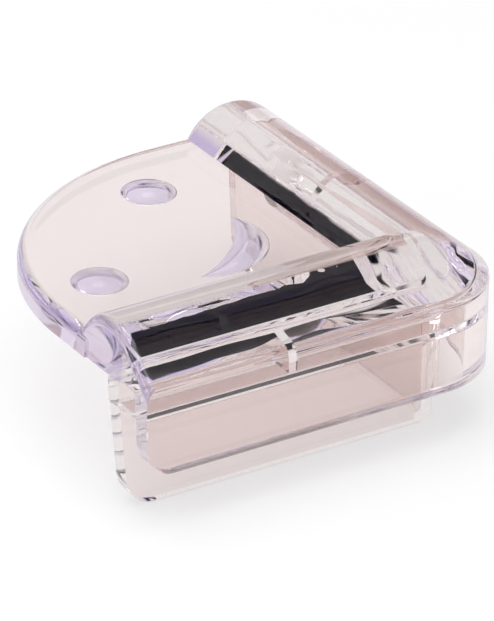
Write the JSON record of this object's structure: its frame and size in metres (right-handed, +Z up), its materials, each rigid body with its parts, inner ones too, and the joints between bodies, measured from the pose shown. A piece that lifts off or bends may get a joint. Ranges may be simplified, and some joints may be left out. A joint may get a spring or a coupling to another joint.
{
  "type": "furniture corner protector",
  "caption": "Clear soft-plastic guard for a table or shelf corner: round-nosed top plate, thick round-topped bumper along both edges and a double-walled skirt.",
  "frame": {"origin": "centre of the overall box in plan, at the level of the inner sheets' lower edges, on which the part stands", "axes": "+Z up, away from the furniture's top; one arm runs along X with the furniture's corner at its +X end, the other runs along Y with the corner at its -Y end"},
  "size_m": [0.054, 0.054, 0.0249],
  "materials": {
    "clear_plastic": "clear, glossy, slightly warm tint"
  },
  "bodies": {
    "root": {"corner_guard": "clear_plastic"}
  },
  "joints": []
}
